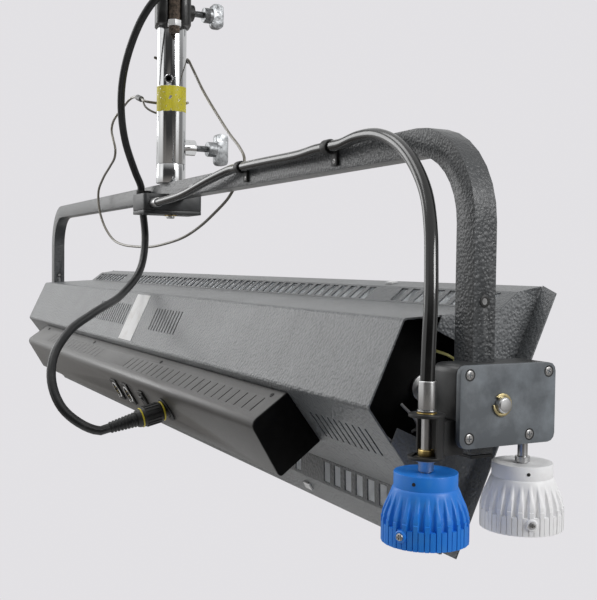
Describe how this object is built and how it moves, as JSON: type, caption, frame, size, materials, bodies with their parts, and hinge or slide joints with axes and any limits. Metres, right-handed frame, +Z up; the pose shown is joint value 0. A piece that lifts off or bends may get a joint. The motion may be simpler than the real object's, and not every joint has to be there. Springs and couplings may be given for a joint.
{
  "type": "led soft light",
  "caption": "Long black LED soft light in a square-tube yoke on a chromed hanger, with blue and white cups that pan and tilt it from the floor.",
  "frame": {"origin": "middle of the flat top of the hanger casting, on the pan axis", "axes": "+X along the light towards the tilt unit and the cups, +Y towards the lit side, +Z up"},
  "size_m": [1.4458, 0.3199, 0.6925],
  "materials": {
    "cast_black": "satin black paint on a casting",
    "bright_steel": "bright zinc and steel",
    "chrome": "polished",
    "brass": "plain",
    "yoke_paint": "black hammered powder paint",
    "cover_paint": "black textured powder paint",
    "gear_plastic": "matt dark grey",
    "black_plastic": "satin black",
    "blue_plastic": "satin blue",
    "white_plastic": "satin white",
    "cord_rubber": "satin black sheath",
    "wire_sleeve": "stranded wire in a clear sleeve",
    "diffuser": "opal",
    "reflector": "satin",
    "board": "white solder mask"
  },
  "bodies": {
    "hanger": {"hanger_casting": "cast_black", "clamp_bolt": "bright_steel", "pole_sleeve": "chrome", "pan_spindle": "chrome", "pan_wheel": "brass", "pan_circlip": "brass", "power_coil": "cord_rubber", "coil_tie": "black_plastic", "power_plug": "black_plastic"},
    "upper_knob": {"upper_tee_knob": "bright_steel"},
    "lower_knob": {"lower_tee_knob": "bright_steel"},
    "yoke": {"yoke_tube": "yoke_paint", "leg_plug_right": "black_plastic", "leg_plug_left": "black_plastic", "pan_case": "gear_plastic", "pan_cover": "gear_plastic", "tilt_case": "gear_plastic", "tilt_cover": "gear_plastic", "cup_bracket": "gear_plastic", "bush_top": "brass", "bush_bottom": "brass", "bracket_ferrule": "bright_steel", "pan_ferrule": "bright_steel", "flex_sheath": "cord_rubber", "sheath_clip_left": "black_plastic", "sheath_clip_right": "black_plastic", "lead_clip": "black_plastic", "safety_wire": "wire_sleeve", "upper_lead": "cord_rubber", "lower_lead": "cord_rubber"},
    "pan_drive": {"pan_worm": "bright_steel"},
    "pan_input": {"pan_cup": "blue_plastic", "pan_input_shaft": "bright_steel"},
    "tilt_input": {"tilt_cup": "white_plastic", "tilt_worm": "bright_steel"},
    "head": {"rear_cover": "cover_paint", "upper_vent": "cover_paint", "lower_vent": "cover_paint", "end_plate_right": "cover_paint", "end_plate_left": "cover_paint", "end_cap_right": "black_plastic", "end_cap_left": "black_plastic", "reflector": "reflector", "led_board": "board", "diffuser": "diffuser", "front_louvre": "reflector", "tilt_spindle": "bright_steel", "tilt_wheel": "brass", "tilt_circlip": "brass", "left_pivot_pin": "bright_steel", "driver_box": "cover_paint", "box_cap_right": "black_plastic", "box_cap_left": "black_plastic", "led_driver": "bright_steel", "data_in_socket": "black_plastic", "data_out_socket": "black_plastic", "power_switch": "black_plastic", "power_inlet": "black_plastic", "inlet_plug": "black_plastic"},
    "rocker": {"switch_rocker": "black_plastic"}
  },
  "joints": [
    {"name": "upper_knob_turn", "type": "hinge", "parent": "hanger", "child": "upper_knob", "pos_m": [0, 0, -0.106], "axis": [0, 1, 0], "range_deg": [0, 450]},
    {"name": "lower_knob_turn", "type": "hinge", "parent": "hanger", "child": "lower_knob", "pos_m": [0, 0, -0.295], "axis": [0, 1, 0], "range_deg": [0, 450]},
    {"name": "pan", "type": "hinge", "parent": "hanger", "child": "yoke", "pos_m": [0, 0, -0.3585], "axis": [0, 0, 1], "range_deg": [-170, 170], "deforming": ["upper_lead"]},
    {"name": "tilt", "type": "hinge", "parent": "yoke", "child": "head", "pos_m": [0, 0, -0.5595], "axis": [1, 0, 0], "range_deg": [-65, 25], "deforming": ["lower_lead"]},
    {"name": "pan_cup_turn", "type": "hinge", "parent": "yoke", "child": "pan_input", "pos_m": [0.71, -0.0577, -0.5595], "axis": [0, 0, 1], "range_deg": [-5440, 5440]},
    {"name": "pan_worm_turn", "type": "hinge", "parent": "yoke", "child": "pan_drive", "pos_m": [0, -0.034, -0.3767], "axis": [1, 0, 0], "range_deg": [-5440, 5440]},
    {"name": "tilt_cup_turn", "type": "hinge", "parent": "yoke", "child": "tilt_input", "pos_m": [0.7063, 0.034, -0.5595], "axis": [0, 0, 1], "range_deg": [-2080, 800]},
    {"name": "switch_rock", "type": "hinge", "parent": "head", "child": "rocker", "pos_m": [0.15, -0.0842, -0.6279], "axis": [1, 0, 0], "range_deg": [-18, 0]}
  ],
  "couplings": [
    {"joint": "pan_cup_turn", "follows": "pan", "ratio": 32},
    {"joint": "pan_worm_turn", "follows": "pan", "ratio": 32},
    {"joint": "tilt_cup_turn", "follows": "tilt", "ratio": 32}
  ]
}
